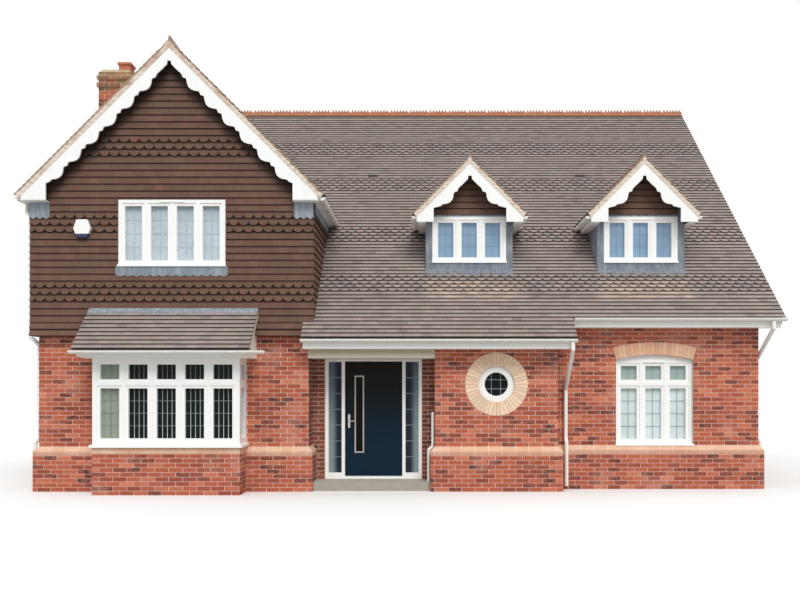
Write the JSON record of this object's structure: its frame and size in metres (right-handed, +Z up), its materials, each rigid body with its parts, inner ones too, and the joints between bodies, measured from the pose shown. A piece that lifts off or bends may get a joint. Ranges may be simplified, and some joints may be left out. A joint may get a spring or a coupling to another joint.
{
  "type": "detached brick house",
  "caption": "Detached brick house with a tile-hung gabled wing, box bay, recessed porch, dormers, crested ridges and scalloped bargeboards.",
  "frame": {"origin": "on the ground, under the main ridge, half way along it; the underside of the ground floor slab", "axes": "+X along the front from left to right, +Y from front to back, +Z up"},
  "size_m": [12.837, 11.18, 8.24],
  "materials": {
    "brick": "facing brick with pale mortar",
    "buff_brick": "pale buff soldier bricks",
    "concrete": "trowelled concrete",
    "floor_boards": "boarded timber floor",
    "hanging_tile": "brown clay hanging tiles",
    "roof_tile": "weathered grey-brown plain tiles",
    "terracotta": "orange terracotta",
    "white_board": "white board",
    "white_frame": "white window frame",
    "window_glass": "clear window glass",
    "lead": "weathered lead sheet",
    "door_paint": "dark blue door",
    "steel": "brushed steel",
    "vent_plastic": "dark plastic"
  },
  "bodies": {
    "root": {"alarm_box": "white_board", "bay_base": "brick", "bay_roof": "roof_tile", "bay_soffit": "white_board", "bay_window_frame": "white_frame", "chimney_pot": "terracotta", "chimney_stack": "brick", "cloakroom_wall": "brick", "door_frame": "white_frame", "dormer_bargeboards": "white_board", "dormer_window_frames": "white_frame", "downpipes": "white_board", "eaves_boards": "white_board", "front_dormer_roofs": "roof_tile", "front_dormer_walls": "lead", "ground_floor": "concrete", "ground_front_glass": "window_glass", "gutters": "white_board", "hinge_frame_halves": "steel", "lead_flashings": "lead", "left_wall": "brick", "main_roof_front": "roof_tile", "main_roof_rear": "roof_tile", "porch_beam": "white_board", "porch_head_wall": "brick", "porch_left_wall": "brick", "porch_lintel": "brick", "porch_right_wall": "brick", "porch_step": "concrete", "rear_and_side_frames": "white_frame", "rear_and_side_glass": "window_glass", "rear_dormer_roofs": "roof_tile", "rear_dormer_walls": "lead", "rear_wall": "brick", "ridge_tiles": "terracotta", "right_front_wall": "brick", "right_wall": "brick", "right_window_frame": "white_frame", "roof_vents": "vent_plastic", "round_window_frame": "white_frame", "round_window_surround": "buff_brick", "upper_floor": "floor_boards", "upper_front_glass": "window_glass", "window_arches": "buff_brick", "wing_bargeboard": "white_board", "wing_flank_wall": "brick", "wing_front_wall": "brick", "wing_roof": "roof_tile", "wing_tile_hanging_front": "hanging_tile", "wing_tile_hanging_sides": "hanging_tile", "wing_window_frame": "white_frame"},
    "front_door": {"front_door": "door_paint", "door_glass": "window_glass", "door_trim": "white_frame", "door_handles": "steel", "hinge_door_halves": "steel"}
  },
  "joints": [
    {"name": "front_door_hinge", "type": "hinge", "parent": "root", "child": "front_door", "pos_m": [-0.0305, -4.572, 1.19], "axis": [0, 0, -1], "range_deg": [0, 90]}
  ]
}
